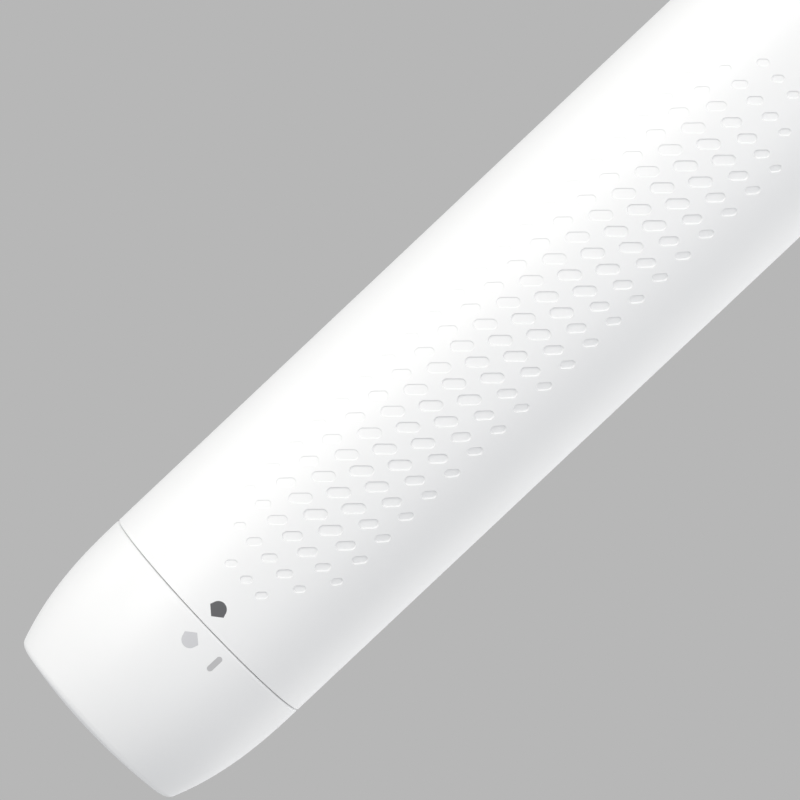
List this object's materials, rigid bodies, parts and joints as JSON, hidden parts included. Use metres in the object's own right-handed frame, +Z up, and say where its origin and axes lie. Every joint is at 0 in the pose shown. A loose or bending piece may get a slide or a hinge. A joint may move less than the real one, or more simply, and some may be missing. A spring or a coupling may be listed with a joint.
{
  "type": "white cane",
  "caption": "Telescopic white cane with a dimpled electronic handle, a twist-lock battery cap, twist-lock shaft sections and a rolling tip, stored collapsed.",
  "frame": {"origin": "centre of the rolling tip's flat end, on the cane's axis, with the cane collapsed", "axes": "+Z up the cane's axis from the tip to the end cap, -Y towards the grip field and the cap's index marks, +Y towards the button and the sensors"},
  "size_m": [0.034, 0.034, 0.5615],
  "materials": {
    "white_shell": "satin white moulded polycarbonate",
    "dark_ink": "dark grey inlay",
    "grey_ink": "light grey inlay",
    "white_tube": "gloss white lacquer on aluminium",
    "red_tube": "gloss red lacquer on aluminium",
    "reflective": "retroreflective film",
    "grey_nylon": "moulded grey nylon",
    "white_nylon": "moulded white nylon",
    "black_plastic": "black plastic",
    "rubber": "black sealing rubber",
    "steel": "plain steel",
    "brass": "plain brass",
    "board_green": "glass-fibre board with a green mask",
    "cell_wrap": "shrink wrap over a steel can",
    "light_pipe": "clear moulded light guide"
  },
  "bodies": {
    "handle": {"grip_shell": "white_shell", "nose_cone": "white_shell", "shaft_socket": "grey_nylon", "pointer_mark": "dark_ink", "battery_sleeve": "grey_nylon", "battery_cell": "cell_wrap", "positive_contact": "brass", "cap_seal": "rubber", "electronics_frame": "grey_nylon", "control_board": "board_green", "board_screw_1": "steel", "board_screw_2": "steel", "tactile_switch": "black_plastic", "processor_chip": "black_plastic", "vibration_motor": "steel", "status_light": "light_pipe", "sensor_cover": "black_plastic", "sensor_transmitter": "steel", "sensor_receiver": "steel", "shaft_tube_1": "white_tube", "tube_end_plug": "white_nylon", "collet_1": "grey_nylon", "reflective_band": "reflective"},
    "cap": {"end_cap": "white_shell", "closed_mark": "grey_ink", "open_mark": "grey_ink", "cap_bayonet_ring": "grey_nylon", "cap_contact_plate": "brass", "battery_spring": "steel"},
    "button": {"power_button": "grey_nylon"},
    "collar_1": {"lock_collar_1": "grey_nylon"},
    "section_2": {"shaft_tube_2": "white_tube", "guide_bush_2": "white_nylon", "collet_2": "grey_nylon"},
    "collar_2": {"lock_collar_2": "grey_nylon"},
    "section_3": {"shaft_tube_3": "white_tube", "guide_bush_3": "white_nylon", "collet_3": "grey_nylon"},
    "collar_3": {"lock_collar_3": "grey_nylon"},
    "section_4": {"shaft_tube_4": "red_tube", "guide_bush_4": "white_nylon", "tip_ferrule": "grey_nylon", "tip_spindle": "steel", "tip_retaining_screw": "steel", "tip_bearing_upper": "steel", "tip_bearing_lower": "steel"},
    "roller": {"tip_roller": "white_nylon"}
  },
  "joints": [
    {"name": "cap_twist", "type": "hinge", "parent": "handle", "child": "cap", "pos_m": [0, 0, 0.54], "axis": [0, 0, 1], "range_deg": [0, 16.5]},
    {"name": "button_press", "type": "slide", "parent": "handle", "child": "button", "axis": [0, -1, 0], "range_m": [0, 0.0008], "stiffness_N_per_m": 3000},
    {"name": "collar_1_twist", "type": "hinge", "parent": "handle", "child": "collar_1", "pos_m": [0, 0, 0.15], "axis": [0, 0, 1], "range_deg": [0, 90]},
    {"name": "section_2_slide", "type": "slide", "parent": "handle", "child": "section_2", "axis": [0, 0, -1], "range_m": [0, 0.21]},
    {"name": "collar_2_twist", "type": "hinge", "parent": "section_2", "child": "collar_2", "pos_m": [0, 0, 0.112], "axis": [0, 0, 1], "range_deg": [0, 90]},
    {"name": "section_3_slide", "type": "slide", "parent": "section_2", "child": "section_3", "axis": [0, 0, -1], "range_m": [0, 0.225]},
    {"name": "collar_3_twist", "type": "hinge", "parent": "section_3", "child": "collar_3", "pos_m": [0, 0, 0.074], "axis": [0, 0, 1], "range_deg": [0, 90]},
    {"name": "section_4_slide", "type": "slide", "parent": "section_3", "child": "section_4", "axis": [0, 0, -1], "range_m": [0, 0.24]},
    {"name": "tip_roll", "type": "hinge", "parent": "section_4", "child": "roller", "pos_m": [0, 0, 0], "axis": [0, 0, 1], "continuous": true}
  ]
}
